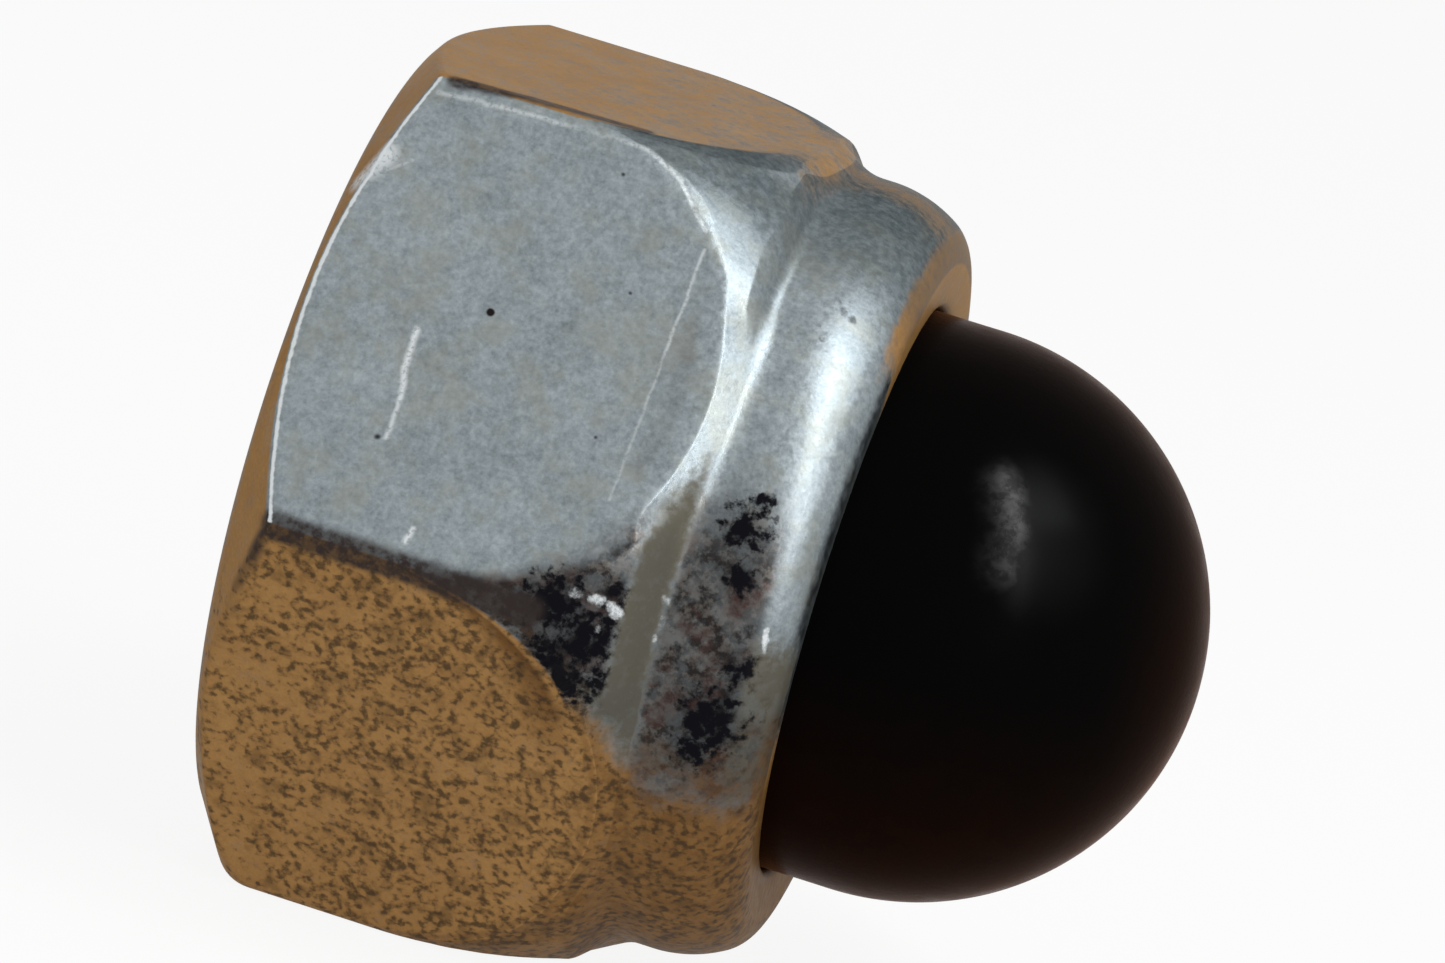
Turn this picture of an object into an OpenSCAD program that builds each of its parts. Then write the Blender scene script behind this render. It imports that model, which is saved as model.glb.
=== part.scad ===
// Self-locking domed hexagon nut: a cold-formed steel nut whose collar is rolled over a moulded nylon dome.
// The nut lies on one of its flats. Its thread axis runs along +X, from the bearing face to the dome.

/* [Thread] */
// Nominal thread diameter
thread_d = 8; // [6:0.5:9]
// Thread pitch
thread_pitch = 1.25; // [0.75:0.05:1.5]
// Height of the threaded steel, from the bearing face to the floor of the collar
thread_h = 6.2; // [5:0.1:6.6]
// Width of the countersink outside the nominal thread, at the bearing face
countersink_over = 0.15; // [0.05:0.05:0.5]

/* [Hexagon] */
// Width across the flats
across_flats = 13; // [12:0.5:17]
// Depth by which the forged corners are blunted
corner_blunt = 0.055; // [0.02:0.005:0.3]
// Width of the chamfer between the bearing face and the middle of a flat
bearing_inset = 0.3; // [0.1:0.01:0.8]
// Angle of the bearing-side chamfer to the bearing face
chamfer_angle = 35; // [15:1:45]
// Height at which the corners start to curve in to the crown
shoulder_h = 3.4; // [2:0.1:5]
// Height at which the crown ends above the collar
crown_h = 6.75; // [6:0.05:7.2]
// Radius of the hollow between the crown's edge and the collar
notch_round = 0.2; // [0.05:0.05:0.4]

/* [Collar] */
// Height of the steel, up to the top of the rolled lip
lip_h = 8.65; // [8.2:0.05:10]
// Radius of the rolled outer edge of the lip
lip_round = 1.1; // [0.4:0.05:1.5]
// Thickness of the rolled lip
lip_t = 0.75; // [0.4:0.05:1]
// Wall of the collar round the nylon flange
collar_wall = 0.96; // [0.6:0.02:1.2]
// Depth by which the face of the lip leans in to the dome
lip_lean = 0.1; // [0.02:0.01:0.3]

/* [Nylon dome] */
// Wall of the dome round the locking bore
dome_wall = 0.92; // [0.6:0.02:1.2]
// Straight length of the dome above the lip
dome_neck = 0.92; // [0.2:0.01:3]
// Width of the flange under the lip
flange_w = 0.75; // [0.4:0.05:1.2]
// Radial clearance of the flange in the collar, and of the dome in the lip
insert_fit = 0.03; // [0.01:0.01:0.1]

/* [Hidden] */
$fn = 96;

// Depth of thread and of its pitch line below the nominal diameter, as shares of the pitch
MINOR_SHARE = 1.0825;
PITCH_LINE_SHARE = 0.6495;
HEX_SIDES = 6;
// Overrun of cuts past the faces that they open
over = 1;

thread_minor_r = (thread_d - MINOR_SHARE * thread_pitch) / 2;
locking_bore_r = (thread_d - PITCH_LINE_SHARE * thread_pitch) / 2;
countersink_r = thread_d / 2 + countersink_over;
countersink_h = countersink_r - thread_minor_r;

dome_r = locking_bore_r + dome_wall;
pocket_r = dome_r + flange_w;
collar_r = pocket_r + collar_wall;
lip_opening_r = dome_r + insert_fit;
lip_roll_r = min(lip_round, collar_r - lip_opening_r);
lip_floor_h = lip_h - lip_t;
dome_centre_h = lip_h + dome_neck;

hex_corner_r = across_flats / 2 / cos(180 / HEX_SIDES);
corner_r = hex_corner_r - corner_blunt;
bearing_r = across_flats / 2 - bearing_inset;
chamfer_h = (corner_r - bearing_r) * tan(chamfer_angle);

// The hollow beside the collar takes at most half the depth of the corners
notch_r = min(notch_round, (corner_r - collar_r) / 2);

// The crown is an arc that leaves the corners along the axis and ends at the hollow
crown_rise = crown_h - shoulder_h;
crown_drop = corner_r - collar_r - notch_r;
crown_arc_r = (pow(crown_rise, 2) + pow(crown_drop, 2)) / (2 * crown_drop);

// Lays a shape that stands on the bearing face down on a flat
module lay_on_flat() {
    rotate([0, 90, 0]) children();
}

// Outline of the forged crown and chamfer, and of the hollow beside the collar, as radius against height
module forging_outline() {
    polygon([
        [0, 0],
        [bearing_r, 0],
        [corner_r, chamfer_h],
        [corner_r, shoulder_h],
        [0, shoulder_h]
    ]);
    intersection() {
        translate([corner_r - crown_arc_r, shoulder_h]) circle(crown_arc_r);
        translate([0, shoulder_h]) square([corner_r, crown_rise]);
    }
    difference() {
        translate([0, crown_h]) square([collar_r + notch_r, notch_r]);
        translate([collar_r + notch_r, crown_h + notch_r]) circle(notch_r);
    }
}

// Outline of the collar, with its rolled lip
module collar_outline() {
    roll_centre = [collar_r - lip_roll_r, lip_h - lip_roll_r];
    square([collar_r, roll_centre.y]);
    intersection() {
        translate(roll_centre) circle(lip_roll_r);
        translate([0, roll_centre.y]) square([collar_r, lip_roll_r]);
    }
    polygon([
        [0, roll_centre.y],
        roll_centre,
        [roll_centre.x, lip_h],
        [lip_opening_r, lip_h - lip_lean],
        [0, lip_h - lip_lean]
    ]);
}

// Outline of the way through the nut: countersink, thread at its minor diameter, pocket and lip opening
module passage_outline() {
    polygon([
        [0, -over],
        [countersink_r + over, -over],
        [thread_minor_r, countersink_h],
        [thread_minor_r, thread_h],
        [pocket_r, thread_h],
        [pocket_r, lip_floor_h],
        [lip_opening_r, lip_floor_h],
        [lip_opening_r, lip_h + over],
        [0, lip_h + over]
    ]);
}

// Steel nut with its collar and rolled lip
module nut_body() {
    color("lightslategray") lay_on_flat() difference() {
        union() {
            intersection() {
                rotate([0, 0, 180 / HEX_SIDES])
                    cylinder(h = crown_h + notch_r, r = hex_corner_r, $fn = HEX_SIDES);
                rotate_extrude() forging_outline();
            }
            rotate_extrude() collar_outline();
        }
        rotate_extrude() passage_outline();
    }
}

// Round-ended outline of radius r that reaches from height low to the dome's centre and over it
module domed_outline(r, low) {
    translate([0, low]) square([r, dome_centre_h - low]);
    intersection() {
        translate([0, dome_centre_h]) circle(r);
        translate([0, dome_centre_h]) square([r, r]);
    }
}

// Nylon dome with its locking bore and the flange that the lip holds
module dome_insert() {
    color("#17130f") lay_on_flat() rotate_extrude() difference() {
        union() {
            domed_outline(dome_r, thread_h);
            translate([0, thread_h]) square([pocket_r - insert_fit, lip_floor_h - thread_h]);
        }
        domed_outline(locking_bore_r, thread_h - over);
    }
}

nut_body();
dome_insert();
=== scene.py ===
import math

import bpy
import numpy as np
from mathutils import Matrix, Vector, noise


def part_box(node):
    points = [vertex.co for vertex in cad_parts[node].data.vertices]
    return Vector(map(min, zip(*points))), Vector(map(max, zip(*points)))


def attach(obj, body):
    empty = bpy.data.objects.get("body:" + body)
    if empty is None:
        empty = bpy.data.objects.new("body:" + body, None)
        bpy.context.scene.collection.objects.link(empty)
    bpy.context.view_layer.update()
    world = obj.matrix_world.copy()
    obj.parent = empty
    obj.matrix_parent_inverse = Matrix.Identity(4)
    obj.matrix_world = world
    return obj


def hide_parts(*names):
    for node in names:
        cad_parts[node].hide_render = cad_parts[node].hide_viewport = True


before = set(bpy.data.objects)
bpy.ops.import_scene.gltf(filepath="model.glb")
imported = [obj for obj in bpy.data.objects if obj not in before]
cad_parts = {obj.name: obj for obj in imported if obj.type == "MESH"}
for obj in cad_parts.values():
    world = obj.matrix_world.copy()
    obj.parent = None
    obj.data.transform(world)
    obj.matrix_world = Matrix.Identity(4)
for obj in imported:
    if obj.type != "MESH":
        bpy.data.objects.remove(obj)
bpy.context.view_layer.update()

# Sizes, in millimetres, with heights along the thread axis from the bearing face
MM = 0.001
nut_low, nut_high = [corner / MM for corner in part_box("nut_body")]
insert_low, insert_high = [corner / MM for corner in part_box("dome_insert")]

FLAT_R = nut_high.z
CORNER_R = nut_high.y
LIP_H = nut_high.x
POCKET_H = insert_low.x
FLANGE_R = insert_high.y
DOME_TIP_H = insert_high.x

HEX_SIDES = 6
SECTOR = 2 * math.pi / HEX_SIDES
SHARP_CORNER_R = FLAT_R / math.cos(SECTOR / 2)
CORNER_ROUND = (SHARP_CORNER_R - CORNER_R) / (1 / math.cos(SECTOR / 2) - 1)

BEARING_R = 6.2
CHAMFER_SLOPE = math.tan(math.radians(35))
SHOULDER_H = 3.4
CROWN_H = 6.75
COLLAR_R = 6.224
NOTCH_R = 0.2
BARREL_H = 7.25
BARREL_R = 2.0
BARREL_TURN = math.radians(31.7)
LIP_LEAN = 0.1
LIP_T = 0.75
LIP_OPENING_R = 4.544
POCKET_R = 5.264
DOME_R = 4.514
LOCKING_BORE_R = 3.594
THREAD_PITCH = 1.25
THREAD_MINOR_R = 3.323
THREAD_MAJOR_R = 4.0
COUNTERSINK_R = 4.15

# Softness of the forged edges: how far each rounding reaches from its edge
BEARING_SOFT = 0.22
CHAMFER_SOFT = 0.09
LOW_CORNER_SOFT = 0.3
ARCH_SOFT = 0.28
CROWN_SOFT = 0.35
RIM_SOFT = 0.1
LIP_SOFT = 0.14
COUNTERSINK_SOFT = 0.07

# The most of a narrow crown that its two roundings take, and the slope of the lip's face
CROWN_SOFT_SHARE = 0.6
RIM_SOFT_SHARE = 0.3
LIP_SLOPE = 0.3

# Heights of the worn strip beside the collar, and how far the arches and saddles are worn
STRIP_H = 6.27
STRIP_H_TOP = 6.42
STRIP_FOOT_H = 6.71
COLLAR_FOOT_H = 6.87
ARCH_DROP = 0.15
SADDLE_EASE = 0.1
SADDLE_REACH = 0.21

# Where the forged shape changes round the nut: each pair runs from none of a change to all of it
STRIP_RISE_LIFTS = (22, 38)
WORN_CROWN_FRONT_LIFTS = (8, 16)
WORN_CROWN_TOP_LIFTS = (59, 52)
LOW_CORNER_LIFT = -40
LOW_CORNER_R = 7.15
SADDLE_R = 6.9
SADDLE_CROWN_WIDTHS = (0.45, -0.05)

# Shares of the way from the arch to the crown's rim, or over a saddle from the arch to the strip's foot
WORN_CROWN_SHARES = (0.2, 0.94)
STRIP_MIDDLE_SHARE = 0.7
SADDLE_CROWN_SHARES = (0.09, 0.58)
SADDLE_RIM_SHARE = 0.65
SADDLE_MIDDLE_SHARE = 0.74
SADDLE_COLLAR_SHARE = 1.3

# Depth to which the steel and the nylon are uneven, and the length over which the dome becomes so
ROUND_UNEVEN = 0.014
CHAMFER_UNEVEN = 0.008
DOME_UNEVEN = 0.006
EVEN_NECK = 0.6

# Thread profile, as shares of the pitch
CREST_HALF = 0.125
ROOT_HALF = 0.0625

# Directions round the axis are angles from the front, positive upwards, and a lift is one in degrees
UPPER_FRONT = math.radians(30)


def smooth_step(value, low, high):
    """0 below low, 1 above high and a smooth ramp between; low may be the larger."""
    t = np.clip((value - low) / (high - low), 0, 1)
    return t * t * (3 - 2 * t)


# Nut body: every column round the axis has the same rows, so that rows follow the forged edges
def hexagon_columns(across=40, round_corner=10):
    """Angle, hexagon radius and flat's angle of each column."""
    tangent = CORNER_ROUND * math.tan(SECTOR / 2)
    half_flat = FLAT_R * math.tan(SECTOR / 2) - tangent
    flat_end = math.atan2(half_flat, FLAT_R)
    corner_half = SECTOR / 2 - flat_end
    round_centre = CORNER_R - CORNER_ROUND
    along = np.linspace(-half_flat, half_flat, across, endpoint=False)
    flat_angle = np.arctan2(along, FLAT_R)
    flat_radius = np.hypot(along, FLAT_R)
    turn = np.linspace(-corner_half, corner_half, round_corner, endpoint=False)
    corner_radius = round_centre * np.cos(turn)
    corner_radius += np.sqrt(CORNER_ROUND ** 2 - (round_centre * np.sin(turn)) ** 2)
    angles, radii, flats = [], [], []
    for side in range(HEX_SIDES):
        middle = UPPER_FRONT + side * SECTOR
        angles += [middle + flat_angle, middle + SECTOR / 2 + turn]
        radii += [flat_radius, corner_radius]
        flats += [np.full(across, middle), middle + SECTOR * (turn > 0)]
    return [np.concatenate(part) for part in (angles, radii, flats)]


def straight(start, end, rows):
    """Evenly spaced points from start up to, but without, end."""
    return np.linspace(start, end, rows, endpoint=False, axis=1)


def bend(start, corner, end, rows):
    """A rounded edge that leaves start and reaches end as if each were aimed at the corner."""
    t = np.linspace(0, 1, rows, endpoint=False)[None, :, None]
    start, corner, end = (p[:, None, :] for p in (start, corner, end))
    return (1 - t) ** 2 * start + 2 * t * (1 - t) * corner + t ** 2 * end


def arc(centre, radius, first, last, rows):
    """Arc about a centre; its angle is 0 outwards from the axis and 90 degrees along it."""
    turn = np.linspace(first, last, rows, axis=1)
    return np.stack([centre[0] + radius * np.sin(turn), centre[1] + radius * np.cos(turn)], axis=2)


def thread_radius(height, angle):
    """Radius of the right-hand thread's wall: flat crests, sloping flanks and narrow roots."""
    turn = (math.pi - angle) / (2 * math.pi)
    phase = np.abs((height / THREAD_PITCH - turn + 0.5) % 1 - 0.5)
    depth = np.clip((phase - CREST_HALF) / (0.5 - CREST_HALF - ROOT_HALF), 0, 1)
    return THREAD_MINOR_R + (THREAD_MAJOR_R - THREAD_MINOR_R) * depth


def nut_profile(angles, hex_r):
    """Rows of height and radius for each column, and the name of the stretch that each row is in."""
    columns = len(angles)
    lift = np.degrees(np.arcsin(np.sin(angles)))

    def point(height, radius):
        return np.stack([np.broadcast_to(height, columns), np.broadcast_to(radius, columns)], axis=1)

    # The crown is an arc that leaves the corners along the axis and ends at the strip beside the collar
    crown_rows = 14
    crown_drop = CORNER_R - COLLAR_R - NOTCH_R
    crown_rise = CROWN_H - SHOULDER_H
    crown_arc_r = (crown_rise ** 2 + crown_drop ** 2) / (2 * crown_drop)
    crown_centre = (SHOULDER_H, CORNER_R - crown_arc_r)
    arch_turn = np.arccos(np.clip((hex_r - crown_centre[1]) / crown_arc_r, -1, 1))
    arch_h = SHOULDER_H + crown_arc_r * np.sin(arch_turn)
    strip_h = STRIP_H + (STRIP_H_TOP - STRIP_H) * smooth_step(lift, *STRIP_RISE_LIFTS)
    rim_turn = np.arcsin((strip_h - SHOULDER_H) / crown_arc_r)
    crown_room = rim_turn - arch_turn
    crown_start = arch_turn + np.minimum(CROWN_SOFT / crown_arc_r, crown_room * CROWN_SOFT_SHARE)
    crown_end = rim_turn - np.minimum(RIM_SOFT / crown_arc_r, crown_room * RIM_SOFT_SHARE)
    crown = arc(crown_centre, crown_arc_r, crown_start, crown_end, crown_rows + 1)

    # Over the middle of each flat a saddle takes the crown's place, from the arch straight to the strip
    saddle = smooth_step(crown_room * crown_arc_r, *SADDLE_CROWN_WIDTHS)[:, None]
    arch = point(arch_h - ARCH_DROP, hex_r) - saddle * [SADDLE_EASE, 0]
    flat_end = arch - [ARCH_SOFT, 0]
    rim = point(strip_h, crown_centre[1] + crown_arc_r * np.cos(rim_turn))
    reach = SADDLE_REACH * smooth_step(hex_r, SADDLE_R, FLAT_R)
    strip_foot = point(STRIP_FOOT_H + reach, COLLAR_R)
    collar_foot = point(COLLAR_FOOT_H + SADDLE_COLLAR_SHARE * reach, COLLAR_R)

    def on_crown(share):
        return arch + (rim - arch) * share

    def on_saddle(share):
        return arch + (strip_foot - arch) * share

    off_front = np.abs(lift)
    worn = smooth_step(off_front, *WORN_CROWN_FRONT_LIFTS) * smooth_step(off_front, *WORN_CROWN_TOP_LIFTS)
    chord = straight(*map(on_crown, WORN_CROWN_SHARES), crown_rows + 1)
    crown += (chord - crown) * worn[:, None, None]
    slope = straight(*map(on_saddle, SADDLE_CROWN_SHARES), crown_rows + 1)
    crown += (slope - crown) * saddle[..., None]
    strip_middle = rim + (strip_foot - rim) * STRIP_MIDDLE_SHARE
    strip_middle += (on_saddle(SADDLE_MIDDLE_SHARE) - strip_middle) * saddle
    rim += (on_saddle(SADDLE_RIM_SHARE) - rim) * saddle

    # Bearing face and chamfer
    chamfer_h = (hex_r - BEARING_R) * CHAMFER_SLOPE
    chamfer_run = math.hypot(1, CHAMFER_SLOPE)
    low_corner = smooth_step(hex_r, LOW_CORNER_R, CORNER_R) * (lift < LOW_CORNER_LIFT)
    chamfer_soft = CHAMFER_SOFT + LOW_CORNER_SOFT * low_corner
    soft_r, soft_h = chamfer_soft / chamfer_run, chamfer_soft * CHAMFER_SLOPE / chamfer_run
    bearing_r, bearing_h = BEARING_SOFT / chamfer_run, BEARING_SOFT * CHAMFER_SLOPE / chamfer_run
    face_start = point(0, COUNTERSINK_R + COUNTERSINK_SOFT)
    face_end = point(0, BEARING_R - BEARING_SOFT)
    chamfer_start = point(bearing_h, BEARING_R + bearing_r)
    chamfer_end = point(chamfer_h - soft_h, hex_r - soft_r)
    flat_start = point(chamfer_h + chamfer_soft, hex_r)

    # Collar and rolled lip
    barrel_centre = (BARREL_H, COLLAR_R - BARREL_R)
    barrel_top_h = BARREL_H + BARREL_R * math.sin(BARREL_TURN)
    barrel_start = np.zeros(columns)
    barrel_end = np.full(columns, BARREL_TURN)
    roll_r = (LIP_H - barrel_top_h) / (1 - math.sin(BARREL_TURN))
    roll_centre = (LIP_H - roll_r, barrel_centre[1] + (BARREL_R - roll_r) * math.cos(BARREL_TURN))
    roll_end = np.full(columns, math.pi / 2)
    lip_edge_h = LIP_H - LIP_LEAN
    lip_floor_h = LIP_H - LIP_T
    lip_start = point(LIP_H, roll_centre[1])
    lip_end = point(lip_edge_h + LIP_SOFT * LIP_SLOPE, LIP_OPENING_R + LIP_SOFT)
    lip_foot = point(lip_edge_h - LIP_SOFT, LIP_OPENING_R)

    # Threaded bore and countersink
    bore_rows = 84
    bore_h = np.broadcast_to(np.linspace(POCKET_H, COUNTERSINK_SOFT, bore_rows, endpoint=False),
                             (columns, bore_rows))
    bore_r = np.maximum(thread_radius(bore_h, angles[:, None]), COUNTERSINK_R - bore_h)
    bore_end = point(COUNTERSINK_SOFT, COUNTERSINK_R - COUNTERSINK_SOFT)

    stretches = [
        ("face", straight(face_start, face_end, rows=14)),
        ("face", bend(face_end, point(0, BEARING_R), chamfer_start, rows=7)),
        ("chamfer", straight(chamfer_start, chamfer_end, rows=8)),
        ("chamfer_edge", bend(chamfer_end, point(chamfer_h, hex_r), flat_start, rows=8)),
        ("flat", straight(flat_start, flat_end, rows=40)),
        ("arch_edge", bend(flat_end, arch, crown[:, 0], rows=14)),
        ("crown", crown[:, :-1]),
        ("strip", bend(crown[:, -1], rim, strip_middle, rows=8)),
        ("strip", bend(strip_middle, strip_foot, collar_foot, rows=11)),
        ("collar", straight(collar_foot, point(BARREL_H, COLLAR_R), rows=3)),
        ("collar", arc(barrel_centre, BARREL_R, barrel_start, barrel_end, rows=17)[:, :-1]),
        ("collar", arc(roll_centre, roll_r, barrel_end, roll_end, rows=15)[:, :-1]),
        ("lip", straight(lip_start, lip_end, rows=4)),
        ("lip", bend(lip_end, point(lip_edge_h, LIP_OPENING_R), lip_foot, rows=6)),
        ("inside", straight(lip_foot, point(lip_floor_h, LIP_OPENING_R), rows=2)),
        ("inside", straight(point(lip_floor_h, LIP_OPENING_R), point(lip_floor_h, POCKET_R), rows=2)),
        ("inside", straight(point(lip_floor_h, POCKET_R), point(POCKET_H, POCKET_R), rows=3)),
        ("inside", straight(point(POCKET_H, POCKET_R), point(POCKET_H, bore_r[:, 0]), rows=3)),
        ("bore", np.stack([bore_h, bore_r], axis=2)),
        ("bore", bend(bore_end, point(0, COUNTERSINK_R), face_start, rows=4)),
    ]
    rows = np.concatenate([points for _, points in stretches], axis=1)
    names = np.concatenate([np.full(points.shape[1], name) for name, points in stretches])
    return rows, names


def place(height, radius, angle):
    """Points in millimetres from height, radius and angle round the axis."""
    height, radius, angle = np.broadcast_arrays(height, radius, angle)
    return np.stack([height, -radius * np.cos(angle), radius * np.sin(angle)], axis=-1)


def uneven(points, grain):
    """Smooth unevenness from -1 to 1 at each point; grain is its number of waves in a millimetre."""
    flat = points.reshape(-1, 3) * grain
    return np.array([noise.noise(Vector(p)) for p in flat]).reshape(points.shape[:-1])


def on_upper_front(height, up):
    """A point of the upper front flat, from its height along the axis and its place up the flat."""
    out = np.array([0, -math.cos(UPPER_FRONT), math.sin(UPPER_FRONT)])
    upwards = np.array([0, math.sin(UPPER_FRONT), math.cos(UPPER_FRONT)])
    return np.array([height, 0, 0]) + out * FLAT_R + upwards * up


def on_round_part(height, radius, lift):
    """A point of the crown or collar, from its height, radius and lift."""
    return place(height, radius, math.radians(lift))


NICK = on_upper_front(0.42, 1.95)
NICK_SIZE = 0.24
NICK_DEPTH = 0.07


def mesh_object(name, vertices_mm, faces, marks=None):
    """A smooth mesh piece in metres, with its marks as point attributes."""
    mesh = bpy.data.meshes.new(name)
    mesh.from_pydata((vertices_mm * MM).tolist(), [], faces)
    mesh.polygons.foreach_set("use_smooth", np.ones(len(mesh.polygons), bool))
    for kind, values in (marks or {}).items():
        attribute = mesh.attributes.new(kind, "FLOAT", "POINT")
        attribute.data.foreach_set("value", np.asarray(values, np.float32).ravel())
    mesh.validate()
    mesh.update()
    piece = bpy.data.objects.new(name, mesh)
    bpy.context.scene.collection.objects.link(piece)
    return piece


# Painted dark reflections, as blotches on the round part: height along the axis, lift and size
REFLECTION_BLOTCHES = [
    (5.83, -3, 0.6), (6.1, 3, 0.3), (5.24, 1, 0.5), (6.12, -8, 0.4), (5.6, -9, 0.5), (5.3, -6, 0.45),
    (7.47, 16.5, 0.4), (7.58, 20, 0.2), (7.64, 9.5, 0.28), (7.74, -10.5, 0.54), (7.66, -15, 0.4),
    (7.96, -2.5, 0.26),
]

# Slanted borders of the marks, as heights along the axis and the lift of the border at each.
# Each fades from its first to its second number of degrees above the border.
LOW_BORDER = ([5.8, 6.3, 6.65, 7.0], [-11, -16, -20.5, -25])
LOW_BORDER_FADE = (7, -5)
OLIVE_TOP = ([6.15, 6.7], [12, 23])
OLIVE_TOP_FADE = (7, -6)
UPPER_CORNER_LIFT = 61


def nut_marks(rows, names, angles, flats):
    """How strongly each point of the steel carries each kind of mark, from 0 to 1."""
    columns, count = rows.shape[:2]
    height, radius = rows[..., 0], rows[..., 1]
    everywhere = np.zeros((columns, count))
    lift = np.degrees(np.arcsin(np.sin(angles)))[:, None] + everywhere
    flat_lift = np.degrees(np.arcsin(np.clip(np.sin(flats), -1, 1)))[:, None] + everywhere

    def rows_in(*stretch):
        return np.isin(names, stretch)[None, :] & np.ones((columns, 1), bool)

    def share_along(stretch):
        """A rise from 0 to 1 along a stretch of the profile, and 0 elsewhere."""
        share = np.zeros(count)
        inside = np.flatnonzero(names == stretch)
        share[inside] = np.linspace(0, 1, len(inside))
        return share

    def by_flat(top=0.0, upper=0.0, lower=0.0):
        """One value by the top flat, one by the two upper flats and one by the three lower ones."""
        return np.where(flat_lift > 60, top, np.where(flat_lift > 0, upper, lower))

    def patch(amount=1.0, lifts=None, heights=None):
        """A mark that grows from the first to the second of two lifts, and of two heights."""
        made = everywhere + amount
        if lifts:
            made *= smooth_step(lift, *lifts)
        if heights:
            made *= smooth_step(height, *heights)
        return made

    on_flat = rows_in("flat", "chamfer_edge", "arch_edge")
    round_part = rows_in("crown", "strip", "collar")
    over_arch = share_along("arch_edge")
    past_arch = smooth_step(over_arch, 0.1, 0.35) + everywhere
    beyond_arch = np.maximum(round_part, past_arch)
    low_side = smooth_step(lift - np.interp(height, *LOW_BORDER), *LOW_BORDER_FADE)
    low_arch_rim = past_arch * (flat_lift < 0) * (1 - low_side)

    # Painted warm reflection, a tan: the top and lower flats, the chamfer, and the low side and top of the
    # round part and lip
    warm_reflection = everywhere.copy()
    warm_reflection[on_flat] = by_flat(top=0.84 - patch(0.16, heights=(1, 5)), lower=1.0)[on_flat]
    top_wedge = (flat_lift > 60) * patch(lifts=(84, 66)) * (over_arch > 0)
    warm_reflection *= 1 - np.maximum(top_wedge, low_arch_rim)
    top_crown = patch(0.72, lifts=(62, 84), heights=(7.0, 6.5))
    top_collar = patch(0.75, lifts=(76, 92))
    warm_reflection[round_part] = np.maximum.reduce([low_side, top_crown, top_collar])[round_part]
    top_roll = patch(lifts=(42, 56), heights=(LIP_H - 0.3, LIP_H - 0.1))
    low_roll = patch(lifts=(-6, -18), heights=(LIP_H - 0.22, LIP_H - 0.05))
    low_collar = patch(0.45, lifts=(-12, -19))
    warm_reflection = np.maximum(warm_reflection, rows_in("collar", "lip") * top_roll)
    warm_reflection = np.maximum(warm_reflection, rows_in("collar", "strip") * low_collar)
    warm_reflection = np.maximum(warm_reflection, rows_in("collar") * low_roll)
    lip_warm_reflection = np.maximum(patch(lifts=(40, 52)), patch(lifts=(-6, -24)))
    warm_reflection[rows_in("lip")] = lip_warm_reflection[rows_in("lip")]
    warm_reflection[rows_in("chamfer")] = 0.9
    face_warm_reflection = 0.25 + 0.45 * smooth_step(radius, 5.5, BEARING_R) + 0.2 * smooth_step(radius, 4.7, 4.2)
    warm_reflection[rows_in("face")] = face_warm_reflection[rows_in("face")]
    warm_reflection[rows_in("bore", "inside")] = 0.1

    # Dark specks: most on the lower flats and the low side
    specks = everywhere + 0.08
    specks[on_flat] = by_flat(top=0.32, upper=0.08, lower=0.76 + patch(0.24, heights=(0.8, 2.6)))[on_flat]
    specks[round_part] = (0.1 + 0.9 * low_side)[round_part]
    specks[rows_in("chamfer")] = (0.15 + 0.55 * low_side)[rows_in("chamfer")]

    # Olive smear and painted shade: the strip beside the collar, the low end of the crown and the collar's
    # outer edge
    strip = patch(heights=(6.05, 6.3)) * patch(heights=(6.8, 6.6))
    strip *= smooth_step(lift - np.interp(height, *OLIVE_TOP), *OLIVE_TOP_FADE)
    low_crown = patch(lifts=(-6, -10)) * (height < 6.7)
    outer_collar = patch(lifts=(6, -3), heights=(7.95, 8.2)) * (1 - patch(0.45, lifts=(-3, -13)))
    collar_end = patch(lifts=(-13, -18))
    olive_smear_and_shade = np.maximum.reduce([strip, low_crown, outer_collar]) * beyond_arch
    olive_smear_and_shade = np.maximum(olive_smear_and_shade, 0.25 * collar_end * round_part) * (1 - low_side)

    # Painted shade and dark reflection: the front of the round part, the rounded arches, the thread's roots
    # and the low side
    film_top = np.where(rows_in("collar", "strip"), patch(lifts=(27, 10)), patch(lifts=(19, 10)))
    front = film_top * round_part * (1 - np.where(rows_in("crown"), 0.6, 0.4) * low_side)
    front *= 1 - np.maximum(strip, low_crown)
    front *= 1 - patch(lifts=(-13, -3), heights=(8.0, 8.25))
    upper_arch = over_arch * patch(lifts=(18, 9)) + rows_in("flat") * patch(0.25, heights=(5.5, 5.9))
    low_arch = smooth_step(over_arch, 0.3, 0.6) * smooth_step(over_arch, 1.0, 0.7)
    by_arch = smooth_step(share_along("flat"), 0.82, 1.0) * patch(0.8, lifts=(-24, -10))
    in_roots = smooth_step(radius, THREAD_MINOR_R + 0.15, THREAD_MAJOR_R - 0.1) * rows_in("bore")
    shade_and_dark_reflection = np.maximum.reduce([
        front,
        by_flat(upper=upper_arch),
        low_arch_rim * (lift > -30),
        by_flat(lower=0.35 * low_arch * low_side),
        by_flat(lower=by_arch),
        in_roots * patch(0.8, heights=(0.3, 0.9)),
        0.6 * low_side * rows_in("collar", "strip", "lip"),
        0.4 * low_side * rows_in("crown"),
    ])

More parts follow.
